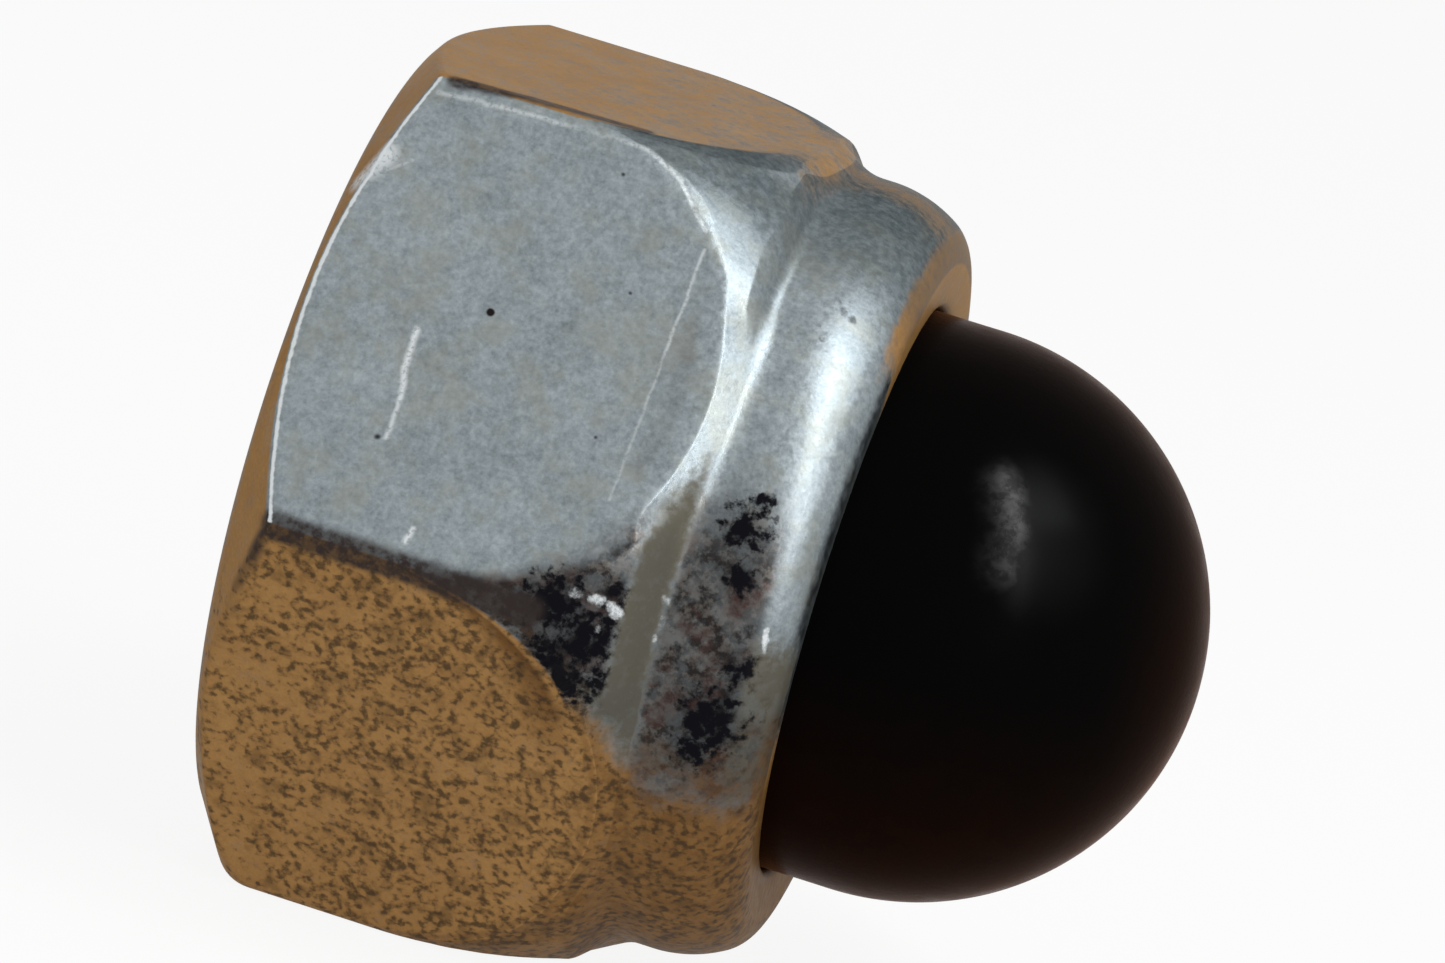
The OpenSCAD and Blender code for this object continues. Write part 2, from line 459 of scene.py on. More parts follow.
    # Painted shade on the plating: by the upper corners, along the top flat's arch, and at the collar's top
    # and low end
    upper_corner = 0.55 * smooth_step(np.abs(lift - UPPER_CORNER_LIFT), 9, 3) * rows_in("crown")
    top_edge = patch(0.6, lifts=(84, 66), heights=(3.0, 4.0)) * (lift > 60) * rows_in("arch_edge")
    top_round = patch(0.5, lifts=(50, 66)) * rows_in("collar", "strip")
    low_end = 0.1 * np.maximum(collar_end, low_crown) * round_part * (1 - low_side)
    painted_shade = np.maximum.reduce([upper_corner, top_edge, top_round, low_end])

    # Blotches of painted dark reflection
    blotch_reflection = everywhere.copy()
    for blotch_h, blotch_lift, size in REFLECTION_BLOTCHES:
        away = (height - blotch_h) ** 2 + (np.radians(lift - blotch_lift) * radius) ** 2
        blotch_reflection = np.maximum(blotch_reflection, np.exp(-away / size ** 2) * beyond_arch * (1 - strip))

    # Pale line along the middle of the chamfer's edge: wear and a painted highlight, strongest on the upper
    # flats
    edge_wear_and_highlight = everywhere.copy()
    edge_rows = np.flatnonzero(names == "chamfer_edge")
    edge_wear_and_highlight[:, edge_rows] = np.sin((np.arange(len(edge_rows)) + 0.5) / len(edge_rows) * math.pi) ** 2
    edge_wear_and_highlight *= by_flat(top=0.1, upper=0.85, lower=0.05)
    return {"warm_reflection": warm_reflection, "specks": specks, "blotch_reflection": blotch_reflection, "edge_wear_and_highlight": edge_wear_and_highlight, "shade_and_dark_reflection": shade_and_dark_reflection,
            "olive_smear_and_shade": olive_smear_and_shade, "painted_shade": painted_shade}


def make_nut_body():
    angles, hex_r, flats = hexagon_columns()
    rows, names = nut_profile(angles, hex_r)
    columns, count = rows.shape[:2]
    marks = nut_marks(rows, names, angles, flats)
    points = place(rows[..., 0], rows[..., 1], angles[:, None])
    depth = ROUND_UNEVEN * np.isin(names, ("crown", "strip", "collar", "lip"))
    depth += CHAMFER_UNEVEN * (names == "chamfer")
    for edge, before, after in (("chamfer_edge", CHAMFER_UNEVEN, 0.0), ("arch_edge", 0.0, ROUND_UNEVEN)):
        in_edge = names == edge
        depth[in_edge] = before + (after - before) * smooth_step(np.linspace(0, 1, in_edge.sum()), 0, 1)
    wave = uneven(points, grain=0.9) + 0.5 * uneven(points, grain=2.3)
    outward = points * [0, 1, 1]
    outward /= np.linalg.norm(outward, axis=-1, keepdims=True)
    points -= outward * (depth[None, :] * (0.5 + 0.5 * np.clip(wave, -1, 1)))[..., None]
    nick = np.exp(-np.sum((points - NICK) ** 2, axis=-1) / NICK_SIZE ** 2)
    points -= outward * (NICK_DEPTH * nick * (1 + 0.6 * uneven(points, grain=6)))[..., None]
    index = np.arange(columns * count).reshape(columns, count)
    right, above = np.roll(index, -1, axis=0), np.roll(index, -1, axis=1)
    both = np.roll(right, -1, axis=1)
    faces = np.stack([index, above, both, right], axis=-1).reshape(-1, 4)
    body = mesh_object("nut_body_worn", points.reshape(-1, 3), faces.tolist(), marks)
    keep_flats = body.modifiers.new("flat shading", "WEIGHTED_NORMAL")
    keep_flats.mode = "FACE_AREA"
    return body


# Nylon dome: a turned outline that starts and ends on the axis
def dome_outline(inner_rows=28, bore_rows=8, neck_rows=10, outer_rows=64):
    """Heights and radii from the tip of the hollow, down the bore, round the flange and over the dome."""
    centre_h = DOME_TIP_H - DOME_R
    inner = [(math.pi / 2 - t, LOCKING_BORE_R) for t in np.linspace(0, math.pi / 2, inner_rows)]
    outer = [(t, DOME_R) for t in np.linspace(0, math.pi / 2, outer_rows)]
    neck_foot_h = LIP_H - LIP_T
    outline = [(centre_h + r * math.sin(t), r * math.cos(t)) for t, r in inner]
    outline += [(h, LOCKING_BORE_R) for h in np.linspace(centre_h, POCKET_H, bore_rows)[1:]]
    outline += [(POCKET_H, FLANGE_R), (neck_foot_h, FLANGE_R)]
    outline += [(h, DOME_R) for h in np.linspace(neck_foot_h, centre_h, neck_rows)[:-1]]
    outline += [(centre_h + r * math.sin(t), r * math.cos(t)) for t, r in outer]
    return np.array(outline)


def make_dome(columns=160):
    outline = dome_outline()
    rings = outline[1:-1]
    angle = np.linspace(0, 2 * math.pi, columns, endpoint=False)
    points = place(rings[None, :, 0], rings[None, :, 1], angle[:, None])
    above_lip = smooth_step(rings[:, 0], LIP_H, LIP_H + EVEN_NECK)
    shrink = DOME_UNEVEN * above_lip[None, :] * (1 + uneven(points, grain=0.8)) / 2
    points -= (points - [DOME_TIP_H - DOME_R, 0, 0]) / DOME_R * shrink[..., None]
    count = len(rings)
    index = np.arange(columns * count).reshape(columns, count)
    right = np.roll(index, -1, axis=0)
    quads = np.stack([index[:, :-1], index[:, 1:], right[:, 1:], right[:, :-1]], axis=-1)
    faces = quads.reshape(-1, 4).tolist()
    first, last = columns * count, columns * count + 1
    faces += [[first, int(a), int(b)] for a, b in zip(index[:, 0], right[:, 0])]
    faces += [[last, int(b), int(a)] for a, b in zip(index[:, -1], right[:, -1])]
    tips = np.array([[outline[0][0], 0, 0], [outline[-1][0], 0, 0]])
    return mesh_object("dome_insert_scuffed", np.concatenate([points.reshape(-1, 3), tips]), faces)


# Node helpers
def srgb(red, green, blue):
    """Linear colour from screen values of 0 to 255."""
    parts = [v / 255 for v in (red, green, blue)]
    return [v / 12.92 if v <= 0.04045 else ((v + 0.055) / 1.055) ** 2.4 for v in parts] + [1]


def fill(tree, node, inputs):
    """Links each named input of a node to a socket, or sets it to a value."""
    for name, value in inputs.items():
        if isinstance(value, bpy.types.NodeSocket):
            tree.links.new(value, node.inputs[name])
        else:
            node.inputs[name].default_value = value


def add(tree, kind, inputs=None, **settings):
    """A node with its settings and inputs."""
    made = tree.nodes.new(kind)
    for name, value in settings.items():
        setattr(made, name, value)
    fill(tree, made, inputs or {})
    return made


def calc(tree, operation, first, second=0.0):
    return add(tree, "ShaderNodeMath", {0: first, 1: second}, operation=operation).outputs[0]


def weighted_sum(tree, *parts):
    """The sum of some values, each given with its weight."""
    total = None
    for value, weight in parts:
        part = calc(tree, "MULTIPLY", value, weight)
        total = part if total is None else calc(tree, "ADD", total, part)
    return total


def vector_calc(tree, operation, first, second):
    name = "Scale" if operation == "SCALE" else 1
    made = add(tree, "ShaderNodeVectorMath", {0: first, name: second}, operation=operation)
    return made.outputs["Value" if operation in ("DOT_PRODUCT", "LENGTH") else "Vector"]


def ramp(tree, value, low, high, bottom=0.0, top=1.0):
    inputs = {"Value": value, "From Min": low, "From Max": high, "To Min": bottom, "To Max": top}
    return add(tree, "ShaderNodeMapRange", inputs, interpolation_type="SMOOTHSTEP").outputs["Result"]


def varied(tree, value, texture, low, high, bottom=0.0, top=1.0):
    """A value times a share that goes from bottom to top as a texture goes from low to high."""
    return calc(tree, "MULTIPLY", value, ramp(tree, texture, low, high, bottom, top))


def blend_colour(tree, share, first, second):
    made = add(tree, "ShaderNodeMix", {0: share, 6: first, 7: second}, data_type="RGBA")
    return made.outputs[2]


def new_group(name, inputs, outputs):
    """An empty node group with named sockets; returns it with its input and output nodes."""
    group = bpy.data.node_groups.new(name, "ShaderNodeTree")
    for socket, kind in inputs.items():
        group.interface.new_socket(socket, in_out="INPUT", socket_type="NodeSocket" + kind)
    for socket, kind in outputs.items():
        group.interface.new_socket(socket, in_out="OUTPUT", socket_type="NodeSocket" + kind)
    return group, group.nodes.new("NodeGroupInput").outputs, group.nodes.new("NodeGroupOutput").inputs


def use_group(tree, group, inputs):
    made = tree.nodes.new("ShaderNodeGroup")
    made.node_tree = group
    fill(tree, made, inputs)
    return made.outputs[0]


# Shared surface effects
def cloudy_group():
    """Soft clouds of grain: from 0 to 1, with the given number of clouds in a millimetre."""
    group, given, out = new_group(
        "cloudy grain", {"Place": "Vector", "Grain": "Float", "Contrast": "Float"}, {"Value": "Float"})
    cloud = add(group, "ShaderNodeTexNoise", {
        "Vector": given["Place"], "Scale": given["Grain"], "Detail": 5.0, "Roughness": 0.62})
    centred = calc(group, "SUBTRACT", cloud.outputs["Fac"], 0.5)
    spread = add(group, "ShaderNodeMath", {0: centred, 1: given["Contrast"], 2: 0.5},
                 operation="MULTIPLY_ADD", use_clamp=True)
    group.links.new(spread.outputs[0], out["Value"])
    return group


def speck_group():
    """Small ragged specks; Amount from 0 to 1 says how much of the surface they cover."""
    group, given, out = new_group(
        "ragged specks", {"Place": "Vector", "Grain": "Float", "Amount": "Float"}, {"Mask": "Float"})
    grains = add(group, "ShaderNodeTexNoise", {
        "Vector": given["Place"], "Scale": given["Grain"], "Detail": 3.0, "Roughness": 0.5,
        "Distortion": 0.1})
    edge = ramp(group, given["Amount"], 0.0, 1.0, 0.7, 0.41)
    mask = ramp(group, grains.outputs["Fac"], edge, calc(group, "ADD", edge, 0.25))
    group.links.new(mask, out["Mask"])
    return group


def hairline_group():
    """One thin, slightly shaky scratch between two places, or a round spot where they are the same."""
    group, given, out = new_group(
        "hairline",
        {"Place": "Vector", "Start": "Vector", "End": "Vector", "Width": "Float", "Strength": "Float"},
        {"Mask": "Float"})
    shake = add(group, "ShaderNodeTexNoise", {"Vector": given["Place"], "Scale": 2.5, "Detail": 3.0})
    shift = vector_calc(group, "SUBTRACT", shake.outputs["Color"], (0.5, 0.5, 0.5))
    shaken = vector_calc(group, "ADD", given["Place"], vector_calc(group, "SCALE", shift, 0.08))
    from_start = vector_calc(group, "SUBTRACT", shaken, given["Start"])
    run = vector_calc(group, "SUBTRACT", given["End"], given["Start"])
    length = calc(group, "MAXIMUM", vector_calc(group, "DOT_PRODUCT", run, run), 1e-6)
    along = add(group, "ShaderNodeMath", {0: vector_calc(group, "DOT_PRODUCT", from_start, run), 1: length},
                operation="DIVIDE", use_clamp=True).outputs[0]
    nearest = vector_calc(group, "SCALE", run, along)
    away = vector_calc(group, "LENGTH", vector_calc(group, "SUBTRACT", from_start, nearest), (0, 0, 0))
    line = ramp(group, away, given["Width"], 0.0)
    group.links.new(calc(group, "MULTIPLY", line, given["Strength"]), out["Mask"])
    return group


CLOUDY = cloudy_group()
SPECKS = speck_group()
HAIRLINE = hairline_group()

# Finishes
ZINC_DARK = srgb(100, 109, 113)
ZINC_LIGHT = srgb(161, 170, 174)
ZINC_BRIGHT = srgb(212, 217, 219)
ZINC_OLIVE = srgb(138, 139, 128)
# Painted shade and dark reflection: darker zinc, the film's grey, dust, rust and brown, the olive of the
# smear, and the black along the corners
ZINC_IN_SHADE = srgb(66, 74, 77)
SHADE_GREY = srgb(42, 39, 38)
SHADE_DUST = srgb(88, 84, 80)
SHADE_RUST = srgb(68, 50, 46)
OLIVE_SMEAR_AND_SHADE = srgb(91, 86, 74)
SHADE_BROWN = srgb(84, 52, 22)
SHADE_LINE_BLACK = srgb(52, 45, 43)
# Tan of the painted warm reflection
REFLECTED_TAN_DARK = srgb(140, 102, 58)
REFLECTED_TAN_LIGHT = srgb(176, 136, 84)
SPECK_BROWN = srgb(62, 48, 34)
PIT_BROWN = srgb(34, 29, 29)
# Black of the painted dark reflections
BLOTCH_REFLECTION_BLACK = srgb(19, 19, 23)
NYLON_BLACK = srgb(7, 7, 7)
# Warm brown of the dome's painted reflection, and the warm tint of its sheen, a painted warm reflection at
# the rim
NYLON_WARM_REFLECTION = srgb(27, 11, 4)
NYLON_RIM_REFLECTION = srgb(255, 158, 96)

# Scratches and pits on the upper front flat, with places as height along the axis and distance up the flat.
# A scratch has start, end, width and strength, and a pit has place, width and strength.
PALE_SCRATCHES = [
    ((1.93, -0.21), (1.97, -0.8), 0.085, 1.0),
    ((1.97, -0.8), (2.08, -1.3), 0.075, 0.95),
    ((2.08, -1.3), (2.06, -1.95), 0.06, 0.75),
    ((5.56, 2.32), (5.54, 0.6), 0.045, 0.55),
    ((5.54, 0.6), (5.52, -1.82), 0.04, 0.3),
    ((0.55, 2.0), (0.95, 2.3), 0.05, 0.4),
    # A painted glint, given as a short scratch
    ((2.9, -3.36), (2.94, -3.16), 0.08, 1.0),
]
DARK_PITS = [
    ((2.88, 0.4), 0.1, 1.0), ((1.94, -1.97), 0.1, 0.55),
    ((4.01, 3.08), 0.07, 0.5), ((4.73, 1.34), 0.06, 0.5), ((4.99, -0.97), 0.07, 0.5),
]

# The same kinds of marks elsewhere, with places as height along the axis, radius and lift. The pale rubs
# are a pale spot at the nick and painted highlights along the upper corner's rounding.
PALE_RUBS_AND_HIGHLIGHTS = [
    ((0.28, 6.56, 46.0), (0.55, 6.88, 49.6), 0.3, 1.0),
    ((0.95, 7.37, 58.0), (1.91, 7.4, 58.5), 0.07, 0.45),
    ((1.91, 7.4, 58.5), (4.2, 7.38, 59.2), 0.07, 0.55),
    ((4.2, 7.38, 59.2), (4.86, 7.21, 56.9), 0.07, 0.65),
    ((4.86, 7.21, 56.9), (5.46, 6.99, 52.0), 0.06, 0.6),
]
# The bright flecks are painted glints
PAINTED_GLINTS = [
    ((6.02, 6.85, 1.9), (6.12, 6.79, 1.2), 0.15, 1.0),
    ((5.74, 6.97, 2.4), (5.84, 6.93, 2.2), 0.16, 0.68),
    ((5.46, 7.06, 2.6), (5.52, 7.05, 2.5), 0.14, 0.58),
    ((5.9, 6.9, -1.0), (5.92, 6.9, -1.4), 0.1, 0.6),
    ((8.2, 5.97, 3.6), (8.22, 5.96, 2.0), 0.09, 0.95),
    ((8.22, 5.96, 2.0), (8.24, 5.95, 0.6), 0.07, 0.75),
    ((6.68, 6.32, 4.2), (6.7, 6.31, 3.6), 0.11, 0.7),
    ((6.7, 6.31, 1.2), (6.72, 6.3, 0.5), 0.1, 0.7),
    ((6.7, 6.31, -1.4), (6.7, 6.31, -1.8), 0.09, 0.65),
]
BROWN_DOTS = [
    ((7.74, 6.16, 52.0), 0.16, 0.6), ((7.87, 6.12, 51.5), 0.14, 0.55), ((7.6, 6.19, 53.6), 0.12, 0.5),
    ((7.58, 6.19, 46.2), 0.1, 0.55), ((7.7, 6.17, 44.5), 0.08, 0.5), ((7.45, 6.21, 48.0), 0.08, 0.5),
]
# Painted shade along the rounded corners and the chamfer's edge
CORNER_SHADE_LINES = [
    ((0.7, 7.45, -0.2), (3.4, 7.45, -0.3), 0.4, 1.0),
    ((3.4, 7.45, -0.3), (4.9, 7.24, -0.9), 0.42, 1.0),
    ((1.15, 7.45, 60.0), (2.24, 7.4, 61.6), 0.28, 0.8),
    ((2.24, 7.4, 61.6), (4.0, 7.28, 62.8), 0.32, 0.8),
    ((0.84, 7.4, -0.6), (0.68, 7.17, -5.0), 0.3, 0.6),
    ((0.68, 7.17, -5.0), (0.5, 6.92, -10.0), 0.28, 0.4),
    ((0.5, 6.92, -10.0), (0.36, 6.7, -20.0), 0.28, 0.28),
]

# Heights over the thread axis and along it between which the dome turns warm, a painted warm reflection
WARM_UNDERSIDE = (0.5, -4.5)
WARM_TIP = (12.8, 14.1)

# Polished patches of the dome, with start and end in millimetres, width and strength
POLISHED = [
    ((10.7, -3.25, 2.92), (10.98, -3.5, 2.45), 0.7, 0.95),
    ((10.98, -3.5, 2.45), (11.0, -3.82, 1.92), 0.65, 0.85),
]
FAINTLY_POLISHED = [((11.45, -3.2, 2.6), (11.6, -3.35, 2.2), 1.3, 1.0)]


def as_given(*place_mm):
    """A point of the dome, whose marks are placed in millimetres."""
    return place_mm


def millimetres(tree):
    """The place on the piece, in millimetres."""
    return vector_calc(tree, "SCALE", add(tree, "ShaderNodeTexCoord").outputs["Object"], 1 / MM)


def mark(tree, name):
    return add(tree, "ShaderNodeAttribute", attribute_name=name).outputs["Fac"]


def new_material(name):
    material = bpy.data.materials.new(name)
    material.use_nodes = True
    return material, material.node_tree, material.node_tree.nodes["Principled BSDF"]


def broken(tree, amount, texture, push, softness):
    """A mark whose border a texture pushes about, and which stays off unmarked places."""
    pushed = calc(tree, "ADD", amount, calc(tree, "MULTIPLY", calc(tree, "SUBTRACT", texture, 0.5), push))
    border = ramp(tree, pushed, 0.5 - softness / 2, 0.5 + softness / 2)
    return calc(tree, "MULTIPLY", border, ramp(tree, amount, 0.0, 0.3))


def marks_on(tree, at, surface, marks):
    """The strongest, at each place, of some marks with start and end on a surface, width and strength."""
    strongest = None
    for start, end, width, strength in marks:
        line = use_group(tree, HAIRLINE, {"Place": at, "Start": surface(*start), "End": surface(*end),
                                          "Width": width, "Strength": strength})
        strongest = line if strongest is None else calc(tree, "MAXIMUM", strongest, line)
    return strongest


def spots_on(tree, at, surface, spots):
    """The strongest, at each place, of some round spots with place on a surface, width and strength."""
    return marks_on(tree, at, surface, [(spot, spot, width, strength) for spot, width, strength in spots])


def plated_steel():
    material, tree, shader = new_material("worn plated steel")
    at = millimetres(tree)
    broad = use_group(tree, CLOUDY, {"Place": at, "Grain": 0.9, "Contrast": 2.2})
    tarnish = use_group(tree, CLOUDY, {"Place": at, "Grain": 1.6, "Contrast": 3.0})
    mottle = use_group(tree, CLOUDY, {"Place": at, "Grain": 3.6, "Contrast": 3.4})
    crumbs = use_group(tree, CLOUDY, {"Place": at, "Grain": 5.5, "Contrast": 3.6})
    grain = use_group(tree, CLOUDY, {"Place": at, "Grain": 7.0, "Contrast": 2.8})
    fine = use_group(tree, CLOUDY, {"Place": at, "Grain": 16.0, "Contrast": 3.0})
    patches = weighted_sum(tree, (crumbs, 0.6), (grain, 0.4))

    # Grey plating under a painted warm reflection
    tone = weighted_sum(tree, (broad, 0.3), (grain, 0.4), (fine, 0.3))
    zinc = blend_colour(tree, tone, ZINC_DARK, ZINC_LIGHT)
    zinc = blend_colour(tree, ramp(tree, tarnish, 0.4, 0.9, 0.0, 0.4), zinc, ZINC_OLIVE)
    cloud = weighted_sum(tree, (tarnish, 0.5), (grain, 0.5))
    warm_reflection = broken(tree, mark(tree, "warm_reflection"), cloud, push=0.6, softness=0.9)
    colour = blend_colour(tree, warm_reflection, zinc, blend_colour(tree, tone, REFLECTED_TAN_DARK, REFLECTED_TAN_LIGHT))

    # Painted shade and dark reflection, mottled with dust and rust, brown where it lies on the painted warm
    # reflection
    painted_dark = varied(tree, mark(tree, "shade_and_dark_reflection"), mottle, 0.15, 0.75, 1.0, 0.8)
    shade_colour = blend_colour(tree, ramp(tree, crumbs, 0.25, 0.85), SHADE_GREY, SHADE_DUST)
    shade_colour = blend_colour(tree, ramp(tree, tarnish, 0.5, 0.85, 0.0, 0.7), shade_colour, SHADE_RUST)
    colour = blend_colour(tree, painted_dark, colour, blend_colour(tree, warm_reflection, shade_colour, SHADE_BROWN))

    # Olive smear with painted shade, and painted shade on the plating
    olive_smear_and_shade = calc(tree, "ADD", mark(tree, "olive_smear_and_shade"), ramp(tree, crumbs, 0.1, 0.9, -0.15, 0.15))
    olive_smear_and_shade = varied(tree, ramp(tree, olive_smear_and_shade, 0.0, 1.0, 0.0, 0.92), mark(tree, "olive_smear_and_shade"), 0.0, 0.3)
    colour = blend_colour(tree, olive_smear_and_shade, colour, OLIVE_SMEAR_AND_SHADE)
    painted_shade = varied(tree, mark(tree, "painted_shade"), grain, 0.1, 0.9, 1.1, 0.9)
    colour = blend_colour(tree, painted_shade, colour, ZINC_IN_SHADE)

    # Faint broad spots and small dark specks
    patchy = varied(tree, mark(tree, "specks"), tarnish, 0.1, 0.8, 0.65, 1.1)
    fewer = calc(tree, "MULTIPLY", patchy, 0.8)
    spots = use_group(tree, SPECKS, {"Place": at, "Grain": 2.8, "Amount": fewer})
    colour = blend_colour(tree, calc(tree, "MULTIPLY", spots, 0.4), colour, SPECK_BROWN)
    specks = use_group(tree, SPECKS, {"Place": at, "Grain": 8.0, "Amount": patchy})
    colour = blend_colour(tree, calc(tree, "MULTIPLY", specks, 0.82), colour, SPECK_BROWN)

    # Painted dark reflections as black blotches, and painted shade along the rounded corners
    blotch_reflection = broken(tree, mark(tree, "blotch_reflection"), patches, push=1.3, softness=0.7)
    colour = blend_colour(tree, blotch_reflection, colour, BLOTCH_REFLECTION_BLACK)
    corners = ramp(tree, marks_on(tree, at, on_round_part, CORNER_SHADE_LINES), 0.05, 0.7)
    corners = varied(tree, corners, patches, 0.2, 0.8, 1.0, 0.78)
    colour = blend_colour(tree, corners, colour, SHADE_LINE_BLACK)

    # Bright chamfer edge of wear and painted highlight, scratches, pale rubs with painted highlights, and
    # painted glints
    edge = broken(tree, mark(tree, "edge_wear_and_highlight"), grain, push=0.5, softness=0.6)
    colour = blend_colour(tree, edge, colour, ZINC_BRIGHT)
    scratches_and_highlights = calc(tree, "MAXIMUM", marks_on(tree, at, on_upper_front, PALE_SCRATCHES),
                     marks_on(tree, at, on_round_part, PALE_RUBS_AND_HIGHLIGHTS))
    rubbed = varied(tree, scratches_and_highlights, fine, 0.15, 0.5, 0.35, 0.9)
    glints = broken(tree, marks_on(tree, at, on_round_part, PAINTED_GLINTS), grain, push=0.8, softness=0.9)
    glints = varied(tree, glints, fine, 0.25, 0.65, 0.6, 0.95)
    colour = blend_colour(tree, calc(tree, "MAXIMUM", rubbed, glints), colour, ZINC_BRIGHT)

    # Pits and brown dots
    pits = spots_on(tree, at, on_upper_front, DARK_PITS)
    dots = broken(tree, spots_on(tree, at, on_round_part, BROWN_DOTS), crumbs, push=0.8, softness=0.9)
    dots = calc(tree, "MULTIPLY", dots, 0.7)
    colour = blend_colour(tree, calc(tree, "MAXIMUM", ramp(tree, pits, 0.1, 0.6), dots), colour, PIT_BROWN)

    # The painted warm reflection, the specks and the olive smear and shade make the steel duller and less
    # metallic
    rough = ramp(tree, grain, 0.0, 1.0, 0.3, 0.42)
    rough = weighted_sum(tree, (rough, 1.0), (warm_reflection, 0.12), (blotch_reflection, -0.08), (olive_smear_and_shade, 0.2))
    dull = calc(tree, "MAXIMUM", calc(tree, "MAXIMUM", warm_reflection, specks), olive_smear_and_shade)
    metal = ramp(tree, dull, 0.0, 1.0, 1.0, 0.55)
    sunk = calc(tree, "MAXIMUM", pits, scratches_and_highlights)
    relief = weighted_sum(tree, (grain, 0.4), (specks, -0.3), (sunk, -1.0))
    bump = add(tree, "ShaderNodeBump", {"Height": relief, "Strength": 0.2, "Distance": 0.02 * MM})
    fill(tree, shader, {
        "Base Color": colour, "Roughness": rough, "Metallic": metal, "Normal": bump.outputs[0],
        "Specular Tint": (0.36, 0.36, 0.36, 1), "Specular IOR Level": 0.15})
    return material


def black_nylon():
    material, tree, shader = new_material("scuffed black nylon")
    at = millimetres(tree)
    cloud = use_group(tree, CLOUDY, {"Place": at, "Grain": 1.4, "Contrast": 2.0})
    worn = use_group(tree, CLOUDY, {"Place": at, "Grain": 4.5, "Contrast": 2.2})
    grain = use_group(tree, CLOUDY, {"Place": at, "Grain": 9.0, "Contrast": 2.2})

    # Black that turns warm brown on the underside and at the tip, a painted warm reflection
    axes = add(tree, "ShaderNodeSeparateXYZ", {0: at}).outputs
    underside = ramp(tree, axes["Z"], *WARM_UNDERSIDE)
    tip = ramp(tree, axes["X"], *WARM_TIP, 0.0, 0.5)
    warm = varied(tree, calc(tree, "MAXIMUM", underside, tip), cloud, 0.2, 0.8, 0.7, 1.0)
    colour = blend_colour(tree, warm, NYLON_BLACK, NYLON_WARM_REFLECTION)
    rough = ramp(tree, cloud, 0.1, 0.9, 0.24, 0.34)

    # Patches rubbed to a shine
    rubbed = calc(tree, "POWER", marks_on(tree, at, as_given, POLISHED), 1.7)
    faint = calc(tree, "MULTIPLY", marks_on(tree, at, as_given, FAINTLY_POLISHED), 0.1)
    polish = calc(tree, "MAXIMUM", varied(tree, rubbed, worn, 0.2, 0.8, 0.16, 0.42), faint)
    bump = add(tree, "ShaderNodeBump", {"Height": grain, "Strength": 0.15, "Distance": 0.01 * MM})
    # The warm-tinted sheen is a painted warm reflection at the rim
    fill(tree, shader, {
        "Base Color": colour, "Roughness": rough, "Coat Weight": polish, "Normal": bump.outputs[0],
        "Specular IOR Level": 0.003, "Coat Roughness": 0.22,
        "Sheen Weight": 0.15, "Sheen Roughness": 0.29, "Sheen Tint": NYLON_RIM_REFLECTION})
    return material


def seen_directly(tree):
    """1 for rays that come from the camera or off a shiny or clear surface, else 0."""
    path = add(tree, "ShaderNodeLightPath").outputs
    shiny = calc(tree, "MAXIMUM", path["Is Glossy Ray"], path["Is Transmission Ray"])
    return calc(tree, "MAXIMUM", path["Is Camera Ray"], shiny)


# Stage
FLOOR_SIZE = 8.0
FLOOR_PALE = srgb(246, 246, 245)
FLOOR_GLOW = 0.9
FILL_LIGHT = 0.42


def make_floor():
    half = FLOOR_SIZE / 2
    z = nut_low.z * MM
    corners = [(-half, -half, z), (half, -half, z), (half, half, z), (-half, half, z)]
    mesh = bpy.data.meshes.new("floor")
    mesh.from_pydata(corners, [], [(0, 1, 2, 3)])
    floor = bpy.data.objects.new("floor", mesh)
    bpy.context.scene.collection.objects.link(floor)
    material = bpy.data.materials.new("pale floor")
    material.use_nodes = True
    tree = material.node_tree
    tree.nodes.clear()
    matt = add(tree, "ShaderNodeBsdfDiffuse", {"Color": FLOOR_PALE})
    glow = add(tree, "ShaderNodeEmission", {"Color": (1, 1, 1, 1), "Strength": 1.0})
    share = calc(tree, "MULTIPLY", seen_directly(tree), FLOOR_GLOW)
    both = add(tree, "ShaderNodeMixShader", {0: share, 1: matt.outputs[0], 2: glow.outputs[0]})
    add(tree, "ShaderNodeOutputMaterial", {"Surface": both.outputs[0]})
    mesh.materials.append(material)


def light_the_room():
    world = bpy.data.worlds.new("white room")
    bpy.context.scene.world = world
    world.use_nodes = True
    tree = world.node_tree
    strength = ramp(tree, seen_directly(tree), 0.0, 1.0, FILL_LIGHT, 1.0)
    tree.links.new(strength, tree.nodes["Background"].inputs["Strength"])
    tree.nodes["Background"].inputs["Color"].default_value = (1, 1, 1, 1)


def direction(azimuth, elevation):
    """Unit vector towards a place seen at that azimuth from the front, turning to +X, and elevation."""
    a, e = math.radians(azimuth), math.radians(elevation)
    return Vector((math.sin(a) * math.cos(e), -math.cos(a) * math.cos(e), math.sin(e)))


AIM = Vector((6.09, 0, 1.02)) * MM


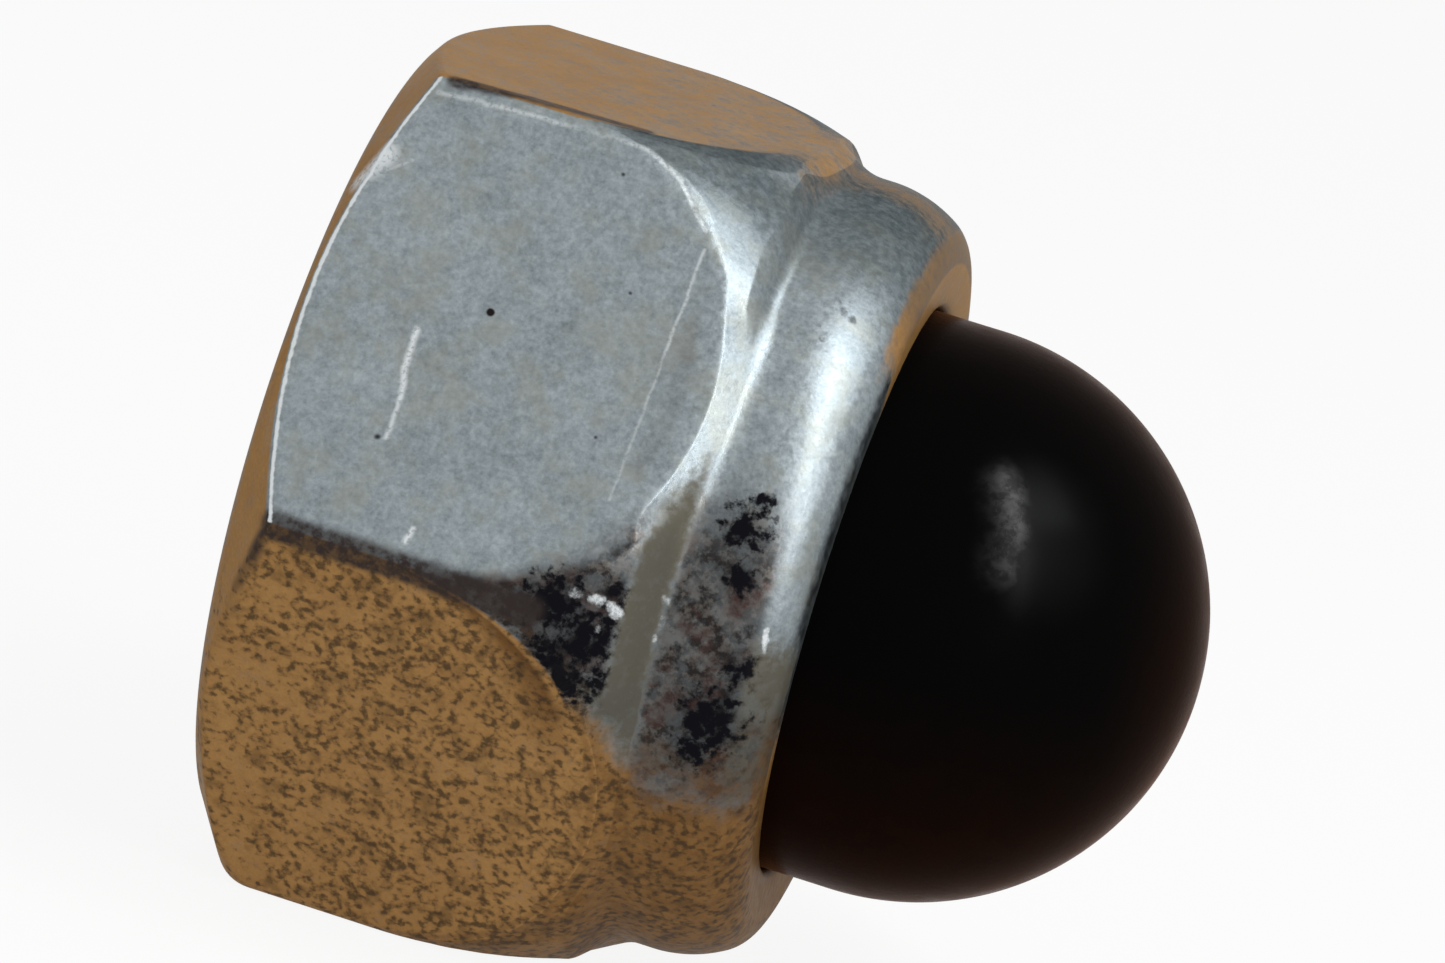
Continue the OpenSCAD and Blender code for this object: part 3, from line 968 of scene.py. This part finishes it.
def softbox(name, low, high, width, distance, radiance, tint=(1, 1, 1)):
    """A rectangular lamp that faces the nut, from its low end to its high one; sizes in millimetres."""
    first, last = direction(*low), direction(*high)
    towards = (first + last).normalized()
    along = (last - first).normalized()
    lamp = bpy.data.lights.new(name, "AREA")
    lamp.shape = "RECTANGLE"
    lamp.size = width * MM
    lamp.size_y = 2 * distance * math.tan(first.angle(last) / 2) * MM
    lamp.energy = radiance * math.pi * lamp.size * lamp.size_y
    lamp.color = tint
    holder = bpy.data.objects.new(name, lamp)
    turn = Matrix((along.cross(towards), along, towards)).transposed().to_4x4()
    holder.matrix_world = Matrix.Translation(AIM + towards * distance * MM) @ turn
    bpy.context.scene.collection.objects.link(holder)


# Camera, at the photograph's place
CAMERA_AZIMUTH = 8.35
CAMERA_ELEVATION = 12.13
CAMERA_ROLL = 15.63
CAMERA_DISTANCE = 113.0
CAMERA_LENS = 181.67
SENSOR_WIDTH = 36.0
NEAREST_SEEN = 5.0
FARTHEST_SEEN = 50000.0


def make_camera():
    data = bpy.data.cameras.new("camera")
    data.lens = CAMERA_LENS
    data.sensor_width = SENSOR_WIDTH
    data.clip_start = NEAREST_SEEN * MM
    data.clip_end = FARTHEST_SEEN * MM
    camera = bpy.data.objects.new("camera", data)
    back = direction(CAMERA_AZIMUTH, CAMERA_ELEVATION)
    level = Vector((0, 0, 1)).cross(back).normalized()
    upright = back.cross(level)
    roll = math.radians(CAMERA_ROLL)
    right = level * math.cos(roll) + upright * math.sin(roll)
    up = back.cross(right)
    turn = Matrix((right, up, back)).transposed().to_4x4()
    camera.matrix_world = Matrix.Translation(AIM + back * CAMERA_DISTANCE * MM) @ turn
    bpy.context.scene.collection.objects.link(camera)
    bpy.context.scene.camera = camera


# The object
nut_body = make_nut_body()
nut_body.data.materials.append(plated_steel())
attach(nut_body, "root")
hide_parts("nut_body")

dome = make_dome()
dome.data.materials.append(black_nylon())
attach(dome, "root")
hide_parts("dome_insert")

# The room
make_floor()
light_the_room()
softbox("window", low=(43, 6), high=(68, 73), width=13, distance=120, radiance=12.0)
softbox("sky", low=(74, 46), high=(92, 74), width=38, distance=120, radiance=2.8, tint=(0.93, 0.97, 1.0))
make_camera()
bpy.context.scene.view_settings.view_transform = "Standard"
